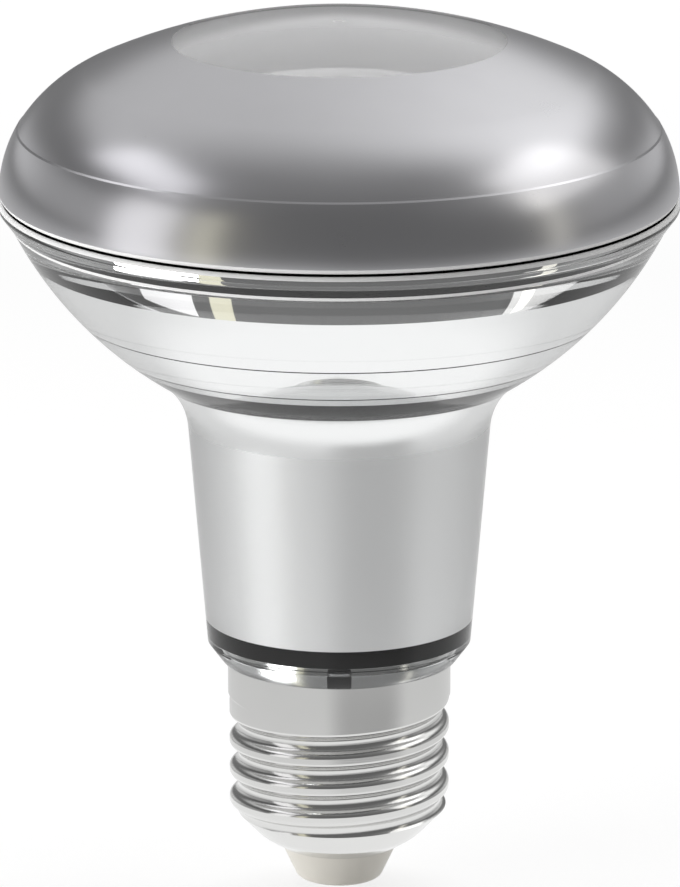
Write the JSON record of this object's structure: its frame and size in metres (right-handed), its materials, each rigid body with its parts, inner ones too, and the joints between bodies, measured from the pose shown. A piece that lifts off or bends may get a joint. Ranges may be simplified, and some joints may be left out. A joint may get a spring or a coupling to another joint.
{
  "type": "reflector bulb",
  "caption": "Reflector lamp with a satin domed front lens, a clear glass bowl and neck over a mirror cup and metal sleeve, and an E27 screw cap.",
  "frame": {"origin": "tip of the centre contact, on the lamp's axis: the lowest point of the part, under the middle of its outline", "axes": "+Z along the lamp's axis from the screw cap to the front lens, +X and +Y across it; the thread's groove starts at +X"},
  "size_m": [0.08, 0.08, 0.106],
  "materials": {
    "lens": "satin silvered, with a clear round window about the axis",
    "seal": "matt black",
    "clear_glass": "clear, polished, with the inside of the bowl and neck silvered",
    "mirror_cup": "bright vapour-coated metal",
    "retainer": "satin black",
    "screws": "zinc plated",
    "led_board": "white solder resist on aluminium",
    "led_phosphor": "yellow phosphor in silicone",
    "heat_sink": "satin bright",
    "carrier": "bright plated",
    "driver_board": "green solder resist",
    "capacitor_sleeve": "shrink sleeve",
    "film_capacitor": "dipped resin",
    "component_black": "moulded epoxy",
    "fuse_sleeve": "lacquered",
    "leads": "tinned copper wire",
    "cap_shell": "nickel plated, satin",
    "insulator": "cream, semi-gloss",
    "contact": "tinned"
  },
  "bodies": {
    "root": {"front_lens": "lens", "rim_seal": "seal", "glass_body": "clear_glass", "reflector": "mirror_cup", "led_retainer": "retainer", "retainer_screws": "screws", "led_board": "led_board", "led_packages": "led_phosphor", "heat_sink": "heat_sink", "foot_gasket": "seal", "base_carrier": "carrier", "driver_board": "driver_board", "smoothing_capacitor": "capacitor_sleeve", "film_capacitor": "film_capacitor", "transformer": "component_black", "rectifier": "component_black", "control_chip": "component_black", "fuse_resistor": "fuse_sleeve", "led_leads": "leads", "live_lead": "leads", "neutral_lead": "leads", "screw_shell": "cap_shell", "cap_insulator": "insulator", "centre_contact": "contact"}
  },
  "joints": []
}
